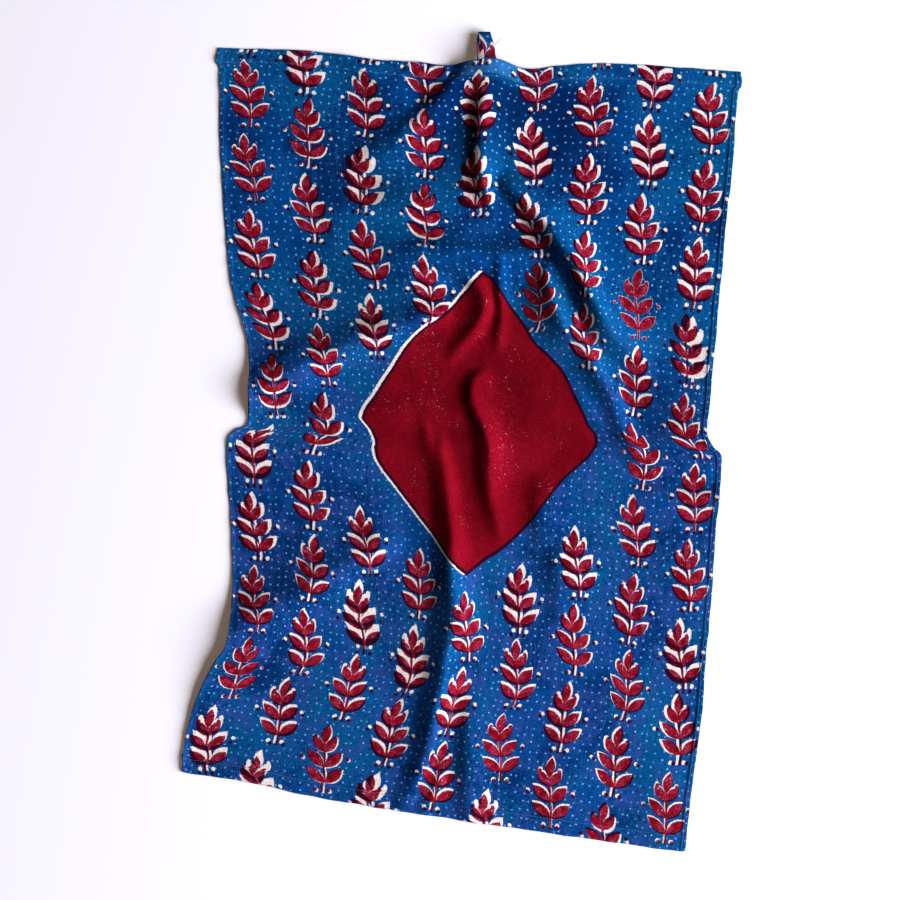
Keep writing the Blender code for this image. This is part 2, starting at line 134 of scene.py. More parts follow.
# Every fold stands on a low swell: its share of the rise, and its width in reaches of the fold
SWELL_SHARE, SWELL_REACH = 0.12, 2.4
LEAST_REACH = 0.1
Fold = namedtuple("Fold", "name left_foot right_foot crest rows")
FOLDS = (
    Fold("top ridge", FIRM, SOFT, KNIFE, (
        (34, 200, 0, 8, 5), (30.5, 207, 8, 14, 7), (25.5, 221, 11, 18, 9), (22, 236, 13, 20, 14),
        (19, 250, 13, 20, 22), (19, 270, 12, 19, 28), (19.5, 300, 9, 15, 30),
        (20, 322, 8, 14, 30), (20, 338, 8, 18, 34), (17, 364, 8, 24, 40))),
    Fold("hem lift", SOFT, SOFT, ROUND, (
        (-24, 346, 0, 20, 16), (-8, 346, 6, 30, 26), (6, 346, 13, 34, 32),
        (20, 345, 14.5, 34, 34), (34, 345, 13, 34, 32), (48, 344, 6, 30, 26),
        (66, 343, 0, 20, 16))),
    Fold("shoulder", SOFT, SOFT, BLUNT, (
        (-142, 230, 0, 20, 33), (-106, 247, 3, 22, 44), (-58, 278, 6, 20, 44),
        (-32, 302, 9, 15, 36), (-16, 320, 9.5, 13, 28), (0, 339, 7, 11, 20), (8, 356, 5, 11, 17))),
    Fold("lapel", SOFT, SOFT, BLUNT, (
        (-126, 376, 2, 15, 18), (-96, 345, 3, 15, 20), (-64, 322, 4, 13, 22),
        (-36, 304, 2, 11, 18))),
    Fold("great ridge", SHARP, SOFT, KNIFE, (
        (184, 46, 0, 9, 20), (168, 65, 5, 12, 34), (151, 84, 10, 16, 38), (136, 102, 14, 20, 40),
        (126, 117, 18, 18, 40), (118, 132, 20, 17, 40), (111, 148, 20, 18, 38),
        (101, 165, 20, 18, 34), (87, 186, 18, 17, 34), (73, 204, 15, 15, 38),
        (60, 216, 13, 13, 38), (46, 229, 10, 11, 36), (30, 248, 0, 8, 24))),
    Fold("inner ridge", SOFT, SHARP, KNIFE, (
        (196, -24, 0, 8, 8), (173, -18, 5, 14, 12), (161, -10, 7, 18, 15), (152, 2, 8, 20, 15),
        (146, 16, 9, 22, 15), (141, 34, 10, 24, 12), (133, 51, 10, 26, 9), (124, 69, 10, 28, 8),
        (114, 85, 10, 30, 7), (103, 97, 12, 36, 7), (93, 108, 16, 40, 12), (86, 123, 17, 38, 13),
        (81, 142, 15, 32, 11), (78, 158, 9, 24, 8), (77, 168, 0, 12, 5))),
    Fold("hook", SOFT, SOFT, KNIFE, (
        (-14, 70, 0, 9, 9), (-5, 85, 4, 12, 10), (7, 97, 7, 15, 10), (16, 109, 9, 17, 10),
        (21, 124, 9, 17, 9), (18, 139, 8, 15, 9), (6, 150, 5, 12, 9), (-14, 158, 0, 9, 9))),
    Fold("middle pleat", SOFT, SOFT, KNIFE, (
        (32, 78, 0, 6, 9), (34, 95, 4, 7, 12), (35, 128, 6, 8, 13), (35, 155, 5, 8, 12),
        (36, 178, 0, 6, 9))),
    Fold("brow", SOFT, SOFT, BLUNT, (
        (-100, 222, 0, 44, 14), (-60, 218, 6, 50, 18), (-11, 214, 7, 50, 18),
        (30, 209, 7, 24, 16), (60, 203, 0, 12, 9))),
    Fold("left ridge", BROAD, SHARP, BLUNT, (
        (-224, 13, 1, 30, 16), (-210, 26, 5, 40, 20), (-196, 39, 9, 48, 20),
        (-180, 53, 12, 54, 19), (-150, 67, 14, 56, 18), (-120, 80, 14, 52, 17),
        (-87, 93, 13, 46, 16), (-54, 105, 11, 40, 15), (-30, 114, 9, 30, 14),
        (-4, 124, 0, 20, 12))),
    Fold("waist", SOFT, SOFT, ROUND, (
        (-157, 20, 0, 24, 17), (-111, 24, 3, 28, 18), (-56, 25, 4, 28, 18), (-11, 22, 3, 24, 15),
        (11, 20, 0, 17, 11))),
    Fold("lower left ridge", SOFT, SHARP, BLUNT, (
        (-243, -207, 7, 36, 50), (-218, -184, 10, 40, 42), (-197, -167, 12, 42, 32),
        (-170, -151, 12, 44, 24), (-138, -134, 11, 44, 20), (-102, -113, 9, 40, 17),
        (-73, -96, 7, 30, 15), (-50, -84, 0, 18, 11))),
    Fold("lower left lift", SOFT, SOFT, ROUND, (
        (-269, -299, 1.5, 18, 24), (-256, -269, 2.5, 18, 34), (-244, -237, 4, 20, 40),
        (-235, -209, 4, 24, 40), (-227, -191, 0, 24, 28))),
    Fold("long pleat", SHARP, SOFT, KNIFE, (
        (-60, -343, 0, 12, 8), (-42, -311, 5, 15, 12), (-30, -280, 9, 18, 15),
        (-23, -240, 12, 20, 20), (-14, -200, 14, 22, 32), (-9, -163, 15, 22, 36),
        (-8, -126, 15, 21, 30), (-9, -90, 13, 20, 18), (-11, -53, 12, 18, 14),
        (-16, -12, 8, 18, 10), (-22, 18, 0, 14, 7))),
    Fold("upper pleat", SOFT, SHARP, KNIFE, (
        (-16, -60, 0, 10, 6), (-21, -34, 4, 14, 9), (-27, -8, 5, 16, 9), (-33, 18, 4, 14, 8),
        (-40, 34, 0, 10, 6))),
    Fold("bottom pleat", SOFT, SOFT, BLUNT, (
        (5, -358, 4, 15, 31), (7, -319, 5, 16, 33), (7, -273, 5, 16, 31), (8, -227, 0, 13, 22))),
    Fold("belly pleat", SOFT, SOFT, KNIFE, (
        (38, -92, 0, 10, 16), (30, -66, 6, 14, 22), (26, -40, 10, 18, 26), (25, -10, 12, 20, 24),
        (23, 10, 12, 18, 22), (16, 24, 10, 15, 24), (9, 38, 9, 12, 30), (9, 52, 8, 10, 30),
        (17, 62, 5, 9, 24), (30, 68, 0, 8, 18))),
    Fold("short pleat", SOFT, SOFT, BLUNT, (
        (77, -105, 0, 15, 22), (73, -64, 5, 20, 31), (68, -26, 0, 15, 22))),
    Fold("low pleat", SOFT, SOFT, BLUNT, (
        (93, -182, 0, 17, 24), (90, -127, 5, 22, 40), (85, -84, 0, 15, 24))),
    Fold("right ridge", BROAD, SHARP, ROUND, (
        (127, 20, 0, 55, 28), (164, 17, 5, 83, 37), (200, 14, 11, 101, 39),
        (224, 12, 15, 110, 39), (255, 10, 16, 110, 39))),
    Fold("right fold", SOFT, BROAD, KNIFE, (
        (150, -44, 0, 10, 26), (180, -47, 5, 12, 40), (223, -50, 9, 14, 48),
        (255, -52, 10, 14, 48))),
)
# Low swells under the folded middle: x, y, rise, half width across, half width along, in mm
SWELLS = (
    (-50, 150, 6, 135, 110),
    (-66, 224, 3, 60, 42),
    (90, 57, 5, 110, 92),
)


def fold_height(x, y, fold):
    """Rise over a fold: most of the crest's rise times (1 - t) to the power of the side's foot.
    t runs from 0 at the crest to 1 at the side's reach, as a hyperbola, so that the crest is
    round. The rest of the rise is a swell, (1 - q squared) squared, where q is the distance
    over the swell's width."""
    crest = through(fold.rows, FOLD_STEPS)
    crest[:, 3:] = np.clip(crest[:, 3:], 0, None)
    start, step = crest[:-1], np.diff(crest, axis=0)
    px, py = x[:, None] - start[:, 0], y[:, None] - start[:, 1]
    length = (step[:, :2] ** 2).sum(axis=1)
    along = np.clip((px * step[:, 0] + py * step[:, 1]) / length, 0.0, 1.0)
    dx, dy = px - along * step[:, 0], py - along * step[:, 1]
    away = np.hypot(dx, dy)
    point = np.arange(len(x))
    nearest = away.argmin(axis=1)
    along, away = along[point, nearest], away[point, nearest]
    on_left = (step[:, 0] * dy - step[:, 1] * dx)[point, nearest] > 0
    rise, left, right = (start[nearest, 2:] + along[:, None] * step[nearest, 2:]).T
    reach = np.maximum(np.where(on_left, left, right), LEAST_REACH)
    t = (np.hypot(away, fold.crest) - fold.crest) / (np.hypot(reach, fold.crest) - fold.crest)
    steep = np.clip(1 - t, 0, None) ** np.where(on_left, fold.left_foot, fold.right_foot)
    swell = np.clip(1 - (away / (reach * SWELL_REACH)) ** 2, 0, None) ** 2
    return rise * ((1 - SWELL_SHARE) * steep + SWELL_SHARE * swell)


def main_folds(x, y):
    """Height in mm at plan points in mm: the folds joined by a power mean, on top of the
    swells, each rise times (1 - q) squared over its ellipse q < 1."""
    rises = (np.clip(fold_height(x, y, fold), 0, None) for fold in FOLDS)
    folds = sum(rise**JOINING for rise in rises) ** (1 / JOINING)
    for cx, cy, rise, across, along in SWELLS:
        q = ((x - cx) / across) ** 2 + ((y - cy) / along) ** 2
        folds = folds + rise * np.clip(1 - q, 0, None) ** 2
    return folds


# Smaller creases, added to the folds: a negative rise is a trough
CREASES = (
    Fold("under brow", SOFT, SOFT, BLUNT, (
        (-92, 182, 0, 15, 30), (-38, 175, 8, 17, 42), (17, 172, 11, 18, 46),
        (52, 169, 9, 16, 34), (76, 166, 0, 12, 18))),
    Fold("hem trough", SHARP, SOFT, KNIFE, (
        (-30, 343, 0, 4, 8), (-12, 338, -3.5, 4.5, 15), (4, 336, -5.8, 5, 19),
        (20, 335.5, -6.4, 5, 20), (38, 336, -5.2, 5, 17), (60, 338, 0, 4, 8))),
    Fold("shoulder trough", SHARP, SOFT, KNIFE, (
        (-50, 303, 0, 4, 5), (-38, 312, -3, 6, 8), (-23, 326, -4.6, 7, 9),
        (-11, 336, -3.6, 6, 8), (-3, 343, 0, 4, 5))),
    Fold("top ridge trough", SOFT, SOFT, KNIFE, (
        (9, 332, 0, 5, 5), (9, 318, -2.2, 6, 9), (7, 298, -2.8, 7, 10), (6, 272, -2.5, 7, 10),
        (8, 250, -1.5, 6, 8), (12, 232, 0, 5, 5))),
    Fold("brow trough", SOFT, SHARP, KNIFE, (
        (-92, 207, 0, 8, 6), (-68, 203, -2, 12, 6), (-32, 200, -3.2, 14, 6),
        (8, 196, -3.8, 14, 6), (44, 191, -3.6, 12, 6), (70, 186, -2, 8, 6), (86, 182, 0, 5, 5))),
    Fold("chest line", SOFT, SOFT, KNIFE, (
        (-104, 150, 0, 6, 6), (-70, 146, 1.2, 9, 9), (-34, 148, 1.6, 9, 9), (-8, 152, 0, 6, 6))),
    Fold("pleat trough", SHARP, SHARP, KNIFE, (
        (30, 94, 0, 3, 3), (31, 110, -1.4, 4, 4), (31, 136, -1.6, 4, 4), (32, 150, 0, 3, 3))),
    Fold("belly line", SHARP, SHARP, KNIFE, (
        (14, 12, 0, 3, 4), (15, -4, 1.8, 4, 5), (18, -26, 2.0, 4, 5), (24, -52, 0, 3, 4))),
    Fold("left foot line", SOFT, SHARP, KNIFE, (
        (-200, 52, 0, 6, 5), (-176, 70, 2.6, 8, 6), (-150, 84, 2, 9, 7), (-126, 96, 0, 6, 5))),
    Fold("notch crease", SHARP, SHARP, KNIFE, (
        (-206, 14, 0, 4, 5), (-186, 30, -3.2, 6, 6), (-166, 44, -2.6, 6, 6), (-146, 54, 0, 4, 4))),
    Fold("lower notch crease", SOFT, SHARP, KNIFE, (
        (-214, -128, 0, 6, 7), (-188, -124, 1.6, 9, 9), (-160, -118, 1.2, 9, 8),
        (-134, -108, 0, 6, 6))),
    Fold("lower foot line", SHARP, SHARP, KNIFE, (
        (-232, -213, 0, 3, 3), (-214, -204, 1.5, 4, 5), (-198, -197, 1.9, 4, 5),
        (-188, -191, 1.6, 4, 5), (-170, -177, 1.9, 4, 5), (-146, -162, 1.6, 4, 5),
        (-124, -149, 1.3, 4, 5), (-106, -138, 0, 3, 4))),
    Fold("right notch crease", SHARP, SOFT, KNIFE, (
        (166, -20, 0, 4, 5), (192, -26, -3.0, 7, 8), (222, -32, -4.0, 8, 9),
        (240, -34, -4.5, 8, 9))),
    Fold("right notch line", SHARP, SHARP, KNIFE, (
        (190, -8, 0, 4, 4), (212, -10, 2.2, 5, 5), (236, -13, 3, 5, 5))),
    Fold("upper notch wrinkle", SHARP, SHARP, KNIFE, (
        (166, 17, 0, 3, 3), (190, 14, 1.5, 3.5, 3.5), (214, 9, 2.3, 3.5, 3.5),
        (238, 4, 1.7, 3, 3))),
    Fold("middle notch wrinkle", SHARP, SHARP, KNIFE, (
        (176, 7, 0, 3, 3), (198, 4, 1.6, 3.5, 3.5), (218, 1, 2.3, 3.5, 3.5),
        (238, -3, 1.8, 3, 3))),
    Fold("right hem dimple", SOFT, SOFT, KNIFE, (
        (227, 330, 0, 5, 5), (226, 312, -1.2, 6, 6), (226, 292, -1.4, 6, 6), (224, 272, 0, 5, 5))),
    Fold("flank line", SHARP, SOFT, KNIFE, (
        (92, 64, 0, 5, 5), (108, 42, 1.6, 7, 8), (122, 18, 2.0, 8, 9), (138, -6, 0, 5, 6))),
    Fold("tail line", SOFT, SHARP, KNIFE, (
        (-40, -352, 0, 5, 4), (-32, -334, 2.0, 8, 7), (-20, -306, 2.4, 9, 7),
        (-6, -276, 0, 6, 5))),
)

print(len(FOLDS), "folds, the highest crest", max(row[2] for f in FOLDS for row in f.rows), "mm")

# %% [markdown]
# ## Small wrinkles
# Between the folds, real cotton is never smooth: it keeps low waves from the wash, and it
# crinkles along a hem. Such waves are random, so they are the sum of many sines, each with its
# own direction, length and phase. A fixed seed makes them the same each time. The same waves,
# used sideways, bend the crests a little, so that no fold looks like a tube.

# %% Random waves
WAVES = 16
SHORTEST_WAVE, LONGEST_WAVE = 0.6, 1.5


def waves(x, y, length, seed, stretch=1.0, turn=0.0):
    """Random waves with a mean square of 1 and about the given wavelength. Stretch lengthens
    them along the turned second axis."""
    draw = np.random.default_rng(seed)
    heading = draw.uniform(0, 2 * np.pi, WAVES)
    phase = draw.uniform(0, 2 * np.pi, WAVES)
    number = 2 * np.pi / (length * draw.uniform(SHORTEST_WAVE, LONGEST_WAVE, WAVES))
    across = x * math.cos(turn) + y * math.sin(turn)
    along = (y * math.cos(turn) - x * math.sin(turn)) / stretch
    angle = across[..., None] * np.cos(heading) + along[..., None] * np.sin(heading)
    return np.sin(angle * number + phase).sum(axis=-1) / math.sqrt(WAVES / 2)


CREST_BEND, CREST_BEND_LENGTH = 0.7, 52.0
LOW_WAVE, LOW_WAVE_LENGTH = 0.45, 58.0
CRINKLE, CRINKLE_LENGTH = 0.07, 13.0
# Share by which the waves lift more than they sink, and the height at which they are strongest
LIFTED, FULLY_LOOSE = 0.8, 12.0


def underside(x, y):
    """Height of the cloth's underside in mm: the folds read at slightly bent places, plus low
    waves and a fine crinkle that are stronger on the folds, and never under the table."""
    bent_x = x + CREST_BEND * waves(x, y, CREST_BEND_LENGTH, 11)
    bent_y = y + CREST_BEND * waves(x, y, CREST_BEND_LENGTH, 12)
    height = main_folds(bent_x, bent_y)
    height = height + sum(fold_height(bent_x, bent_y, crease) for crease in CREASES)
    loose = 0.5 + np.clip(height / FULLY_LOOSE, 0, 1)
    low = LOW_WAVE * (waves(x, y, LOW_WAVE_LENGTH, 13, stretch=1.8, turn=0.35) + LIFTED)
    fine = CRINKLE * waves(x, y, CRINKLE_LENGTH, 14, stretch=1.6, turn=-0.4)
    return np.clip(height + loose * (low + fine), 0, None)


crest = through(FOLDS[0].rows, FOLD_STEPS)
print("underside along the", FOLDS[0].name, "in mm:", underside(*crest[::20, :2].T).round(1))

# %% [markdown]
# ## The sheet
# The cloth is one surface over two parameters: millimetres across and millimetres down, as it
# would be measured when it is pressed flat. The grid's lines lie close together at the hems,
# where the cloth is turned under twice and sewn, so it is thicker there and has a groove along
# the seam. Solidify could give the thickness, but a hem needs more than one thickness, so the
# underside and the top are two surfaces that share their rim.

# %% The cloth as it is cut, and its grid lines
FLAT_WIDTH, FLAT_LENGTH = 500.0, 750.0
SIDE_HEM, END_HEM = 5.0, 15.0
SEAM_INSET = 1.1
CLOTH, HEM_EXTRA, SEAM_DEPTH = 0.55, 0.6, 0.18
# Widths in mm: of the rounded edge, of the step from hem to cloth, and of the seam's groove
EDGE_ROUNDING, HEM_STEP, GROOVE = 0.9, 0.7, 0.5
# Grid lines in mm: the first from the edge, those beside the seam, the first on the hem's
# step, and the first of the even ones
FIRST_LINE, BESIDE_SEAM, ON_STEP, EVEN_START = 0.35, 0.6, 0.1, 2.5
INNER_COLUMNS, INNER_ROWS, EVEN_PLACES = 160, 246, 400


def grid_lines(length, hem, inner, folded):
    """Places of the grid's lines in mm: close at each hem's edge, seam and step, and between
    them twice as close in the folded middle, a bell around its centre, as elsewhere."""
    seam = hem - SEAM_INSET
    spread = np.linspace(EDGE_ROUNDING, seam - BESIDE_SEAM, max(2, round(hem / 3)))
    near = [0, FIRST_LINE, *spread, seam, seam + BESIDE_SEAM, hem + ON_STEP, hem + HEM_STEP]
    near = np.array(near)
    centre, half_width = folded
    even = np.linspace(hem + EVEN_START, length - hem - EVEN_START, EVEN_PLACES)
    share = (1 + np.exp(-(((even - centre) / half_width) ** 4))).cumsum()
    between = np.interp(np.linspace(share[0], share[-1], inner), share, even)
    return np.concatenate([near, between, length - near[::-1]])


across = grid_lines(FLAT_WIDTH, SIDE_HEM, INNER_COLUMNS, (280.0, 115.0))
down = grid_lines(FLAT_LENGTH, END_HEM, INNER_ROWS, (240.0, 150.0))
print("grid:", len(across), "columns by", len(down), "rows,",
      4 * (len(across) - 1) * (len(down) - 1), "triangles")

# %% Thickness of the cloth
def smooth_step(value, low, high):
    """0 below low, 1 above high, and 3q squared - 2q cubed between."""
    q = np.clip((value - low) / (high - low), 0, 1)
    return q * q * (3 - 2 * q)


def from_edge(place, length):
    """Distance in mm from the nearer edge."""
    return np.minimum(place, length - place)


def thickness(across, down):
    """Thickness in mm: that of the cloth, more on each hem, less in its seam's groove, and drawn
    to half at the very edge, as an ellipse, where the cloth turns round."""
    side, end = from_edge(across, FLAT_WIDTH), from_edge(down, FLAT_LENGTH)
    on_hem = (1 - smooth_step(side, SIDE_HEM, SIDE_HEM + HEM_STEP)
              + 1 - smooth_step(end, END_HEM, END_HEM + HEM_STEP))
    groove = np.maximum(np.exp(-(((side - SIDE_HEM + SEAM_INSET) / GROOVE) ** 2)),
                        np.exp(-(((end - END_HEM + SEAM_INSET) / GROOVE) ** 2)))
    turn = np.clip(np.minimum(side, end) / EDGE_ROUNDING, 0, 1)
    rounded = 0.5 + 0.5 * np.sqrt(1 - (1 - turn) ** 2)
    return rounded * (CLOTH + HEM_EXTRA * on_hem - SEAM_DEPTH * groove * on_hem)


middle = thickness(FLAT_WIDTH / 2, FLAT_LENGTH / 2)
print("thickness in the middle:", round(float(middle), 2), "mm")

# %% The sheet's two surfaces
PUCKER, PUCKER_LENGTH, PUCKER_REACH, PUCKER_LIFT = 0.22, 17.0, 12.0, 0.6
EDGE_WAVER, EDGE_WAVER_LENGTH = 0.2, 34.0
EASING_ROUNDS = 2


def eased(points):
    """Cloth can't bend sharply: along both threads each point inside the rim becomes half
    itself and half the mean of its two neighbours, a few times over."""
    for _ in range(EASING_ROUNDS):
        points[:, 1:-1] = points[:, 1:-1] / 2 + (points[:, :-2] + points[:, 2:]) / 4
        points[1:-1] = points[1:-1] / 2 + (points[:-2] + points[2:]) / 4
    return points


def unit(vectors):
    return vectors / np.linalg.norm(vectors, axis=-1, keepdims=True)


def sheet_surfaces(across, down):
    """Underside and top of the cloth in mm, as two grids of points. The top lies a thickness
    away from the underside, along the cloth's normal."""
    a, d = np.meshgrid(across, down)
    plan = plan_of_cloth(a / FLAT_WIDTH, d / FLAT_LENGTH)
    edge = np.minimum(from_edge(a, FLAT_WIDTH), from_edge(d, FLAT_LENGTH))
    near_edge = np.exp(-edge / PUCKER_REACH)
    for axis in (0, 1):
        plan[..., axis] += EDGE_WAVER * near_edge * waves(a, d, EDGE_WAVER_LENGTH, 20 + axis)
    shape = plan.shape[:2]
    height = underside(plan[..., 0].ravel(), plan[..., 1].ravel()).reshape(shape)
    pucker = PUCKER * near_edge * (waves(a, d, PUCKER_LENGTH, 23) + PUCKER_LIFT)
    low = np.dstack([plan, eased(np.clip(height + pucker, 0, None))])
    normal = unit(np.cross(np.gradient(low, axis=1), -np.gradient(low, axis=0)))
    thick = thickness(a, d)
    inner_a = np.clip(a, EDGE_ROUNDING, FLAT_WIDTH - EDGE_ROUNDING)
    inner_d = np.clip(d, EDGE_ROUNDING, FLAT_LENGTH - EDGE_ROUNDING)
    full = np.maximum(thick, thickness(inner_a, inner_d))
    low = low + normal * ((full - thick) / 2)[..., None]
    return low, low + normal * thick[..., None], normal


low_side, top_side, cloth_normal = sheet_surfaces(across, down)
print("cloth from", low_side.min((0, 1)).round(1), "to", top_side.max((0, 1)).round(1), "mm")

# %% Measure the cloth along its threads
def thread_lengths(points, axis, flat):
    """Length along each thread from its start, scaled so that the whole thread has the length
    to which it was cut."""
    step = np.linalg.norm(np.diff(points, axis=axis), axis=-1)
    run = np.concatenate([np.zeros_like(np.take(step, [0], axis=axis)), step.cumsum(axis)], axis)
    whole = np.take(run, [-1], axis=axis)
    print("threads of", round(float(whole.min())), "to", round(float(whole.max())), "mm")
    return run / whole * flat


cloth_across = thread_lengths(top_side, 1, FLAT_WIDTH)
cloth_down = thread_lengths(top_side, 0, FLAT_LENGTH)

# %% [markdown]
# A mesh is made from arrays: the points, and for each face the numbers of its corners. The rim
# joins the two surfaces with one strip of faces that runs once round the sheet. The print will
# follow the threads, so the measured lengths, in metres, become the UV map.

# %% From arrays to a mesh
def grid_faces(rows, columns, first=0, flip=False):
    """Faces of a grid of points numbered row by row, from the number first on."""
    number = first + np.arange(rows * columns).reshape(rows, columns)
    corners = [number[:-1, :-1], number[1:, :-1], number[1:, 1:], number[:-1, 1:]]
    return np.stack(corners[::-1] if flip else corners, axis=-1).reshape(-1, 4)


def rim_numbers(rows, columns):
    """Numbers of a grid's outer points, once round."""
    number = np.arange(rows * columns).reshape(rows, columns)
    return np.concatenate([number[0, :-1], number[:-1, -1], number[-1, :0:-1], number[:0:-1, 0]])


def mesh_object(name, points, faces, uv=None):
    """A smooth object at the origin from points in mm and a few arrays of faces, with a UV map
    where one is given."""
    mesh = bpy.data.meshes.new(name)
    corners = [face for part in faces for face in part.tolist()]
    mesh.from_pydata(points.reshape(-1, 3) * MM, [], corners)
    if uv is not None:
        corner = np.empty(len(mesh.loops), dtype=np.int32)
        mesh.loops.foreach_get("vertex_index", corner)
        layer = mesh.uv_layers.new(name="threads")
        layer.data.foreach_set("uv", uv.reshape(-1, 2)[corner].astype(np.float32).ravel())
    mesh.shade_smooth()
    made = bpy.data.objects.new(name, mesh)
    bpy.context.scene.collection.objects.link(made)
    print(name, "has", sum(len(f.vertices) - 2 for f in mesh.polygons), "triangles")
    return made


# %% The cloth's mesh
rows, columns = top_side.shape[:2]
count = rows * columns
rim = rim_numbers(rows, columns)
next_rim = np.roll(rim, -1)
cloth_faces = (
    grid_faces(rows, columns),
    grid_faces(rows, columns, first=count, flip=True),
    np.stack([rim, next_rim, next_rim + count, rim + count], axis=-1),
)
cloth_uv = np.dstack([cloth_across, FLAT_LENGTH - cloth_down]) * MM
towel = mesh_object(
    "towel_sheet", np.stack([top_side, low_side]), cloth_faces, np.stack([cloth_uv, cloth_uv])
)

# %% [markdown]
# ## The seams
# A machine sewed each hem with one row of short stitches. A stitch is a bit of thread that dips
# into the cloth at both ends. It could be a painted dash, but a close look would show it flat,
# so each stitch is a small tube: a profile of a few points carried along a short arc. All of
# them are worked out in one array and joined in one mesh.

# %% Read the cloth's surface anywhere
def on_cloth(points, a, d):
    """Points of a surface at flat places in mm, read between the grid's lines."""
    i = np.clip(np.searchsorted(down, d) - 1, 0, rows - 2)
    j = np.clip(np.searchsorted(across, a) - 1, 0, columns - 2)
    q = ((d - down[i]) / (down[i + 1] - down[i]))[..., None]
    p = ((a - across[j]) / (across[j + 1] - across[j]))[..., None]
    above = points[i, j] * (1 - p) + points[i, j + 1] * p
    below = points[i + 1, j] * (1 - p) + points[i + 1, j + 1] * p
    return above * (1 - q) + below * q


# %% Stitches along the four seams
STITCH, STITCH_GAP, THREAD, SEAM_END = 2.6, 0.5, 0.17, 1.5
# Height in mm of the thread's middle line over the cloth, and how far its ends sink in
STITCH_RISE, STITCH_SINK = 0.12, 0.05
ARC_POINTS, PROFILE_POINTS = 5, 5


def tubes(centres, radius, sides):
    """Tubes along many short lines at once: at each point of a line a ring of the given radius,
    square to the line and to the height."""
    tangent = unit(np.gradient(centres, axis=-2))
    side = unit(np.cross(tangent, np.array([0.0, 0.0, 1.0]) + 0 * tangent))
    up = np.cross(side, tangent)
    turn = np.linspace(0, 2 * np.pi, sides, endpoint=False)[:, None]
    ring = side[..., None, :] * np.cos(turn) + up[..., None, :] * np.sin(turn)
    return centres[..., None, :] + ring * np.asarray(radius)[..., None, None]


def tube_faces(lines, length, sides):
    """Faces of such tubes: quads round each one, and a cap of triangles at both ends."""
    number = np.arange(lines * length * sides).reshape(lines, length, sides)
    beside = np.roll(number, -1, axis=2)
    walls = np.stack([number[:, :-1], beside[:, :-1], beside[:, 1:], number[:, 1:]], axis=-1)
    caps = []
    for ring, order in ((number[:, 0], [0, 2, 1]), (number[:, -1], [0, 1, 2])):
        fan = np.stack([ring[:, :1] + 0 * ring[:, 2:], ring[:, 1:-1], ring[:, 2:]], axis=-1)
        caps.append(fan[..., order])
    return walls.reshape(-1, 4), np.concatenate(caps).reshape(-1, 3)


# %% Sew the four seams
arc = np.linspace(0, 1, ARC_POINTS)
rise = (STITCH_RISE * np.sin(np.pi * arc) ** 0.5 - STITCH_SINK)[:, None]


def seam_lines(length, inset, down_the_side):
    """Middle lines of the stitches of one seam, at an inset from the cloth's left or top."""
    starts = np.arange(SEAM_END, length - SEAM_END - STITCH, STITCH + STITCH_GAP)
    along = starts[:, None] + arc * STITCH
    fixed = np.full_like(along, inset)
    places = (fixed, along) if down_the_side else (along, fixed)
    return on_cloth(top_side, *places) + on_cloth(cloth_normal, *places) * rise


side_seam, end_seam = SIDE_HEM - SEAM_INSET, END_HEM - SEAM_INSET
stitch_lines = np.concatenate([
    *(seam_lines(FLAT_LENGTH, inset, True) for inset in (side_seam, FLAT_WIDTH - side_seam)),
    *(seam_lines(FLAT_WIDTH, inset, False) for inset in (end_seam, FLAT_LENGTH - end_seam)),
])
thread_radius = np.full(stitch_lines.shape[:2], THREAD)
print(len(stitch_lines), "stitches")
stitches = mesh_object(
    "hem_stitches",
    tubes(stitch_lines, thread_radius, PROFILE_POINTS),
    tube_faces(len(stitch_lines), ARC_POINTS, PROFILE_POINTS),
)

# %% [markdown]
# ## The hanging loop
# The loop is a strip of the same cloth, folded to a tape and caught under the hem at both ends.
# One leg lies face up and the other has turned on its edge, so that from above the loop is a
# wide band beside a narrow one. The tape is a flat oval profile carried along a path, and each
# station of the path also says how far the tape has turned.

# %% The loop's tape
TAPE_WIDTH, TAPE_THICKNESS = 11.0, 1.1
SEWN_GAP = 0.15
FACE_FOOT_X, EDGE_FOOT_X = 26.2, 14.9
FOOT_Y = (341.0, 349.0)
# The free part of the tape's middle line: x, y and z in mm, and its turn in degrees
LOOP_FREE = (
    (26.1, 353, 10.6, 0), (25.4, 359, 10.4, 0), (22.9, 366, 10.1, 0), (21.4, 371, 9.6, 0),
    (21.0, 374.2, 7.4, 0), (20.6, 373.2, 4.6, 6), (19.4, 369, 4.0, 22), (17.2, 363, 4.8, 50),
    (15.4, 357, 5.8, 78), (14.9, 353, 6.2, 90),
)
LOOP_STEPS, TAPE_POINTS, FACE_FLATNESS = 8, 36, 0.35


def lowest_over(x, half_width):
    """Lowest point of the cloth's underside over a foot of the loop."""
    inside = (abs(low_side[..., 0] - x) <= half_width) & (low_side[..., 1] >= FOOT_Y[0])
    return low_side[inside, 2].min()


def tape_profile(points):
    """Flat oval of width and thickness 1: its half width is the cosine of the turn, and its
    half thickness the sine to the power 0.35, so that the faces are nearly flat."""
    turn = np.linspace(0, 2 * np.pi, points, endpoint=False)
    return np.cos(turn) / 2, np.sign(np.sin(turn)) * abs(np.sin(turn)) ** FACE_FLATNESS / 2


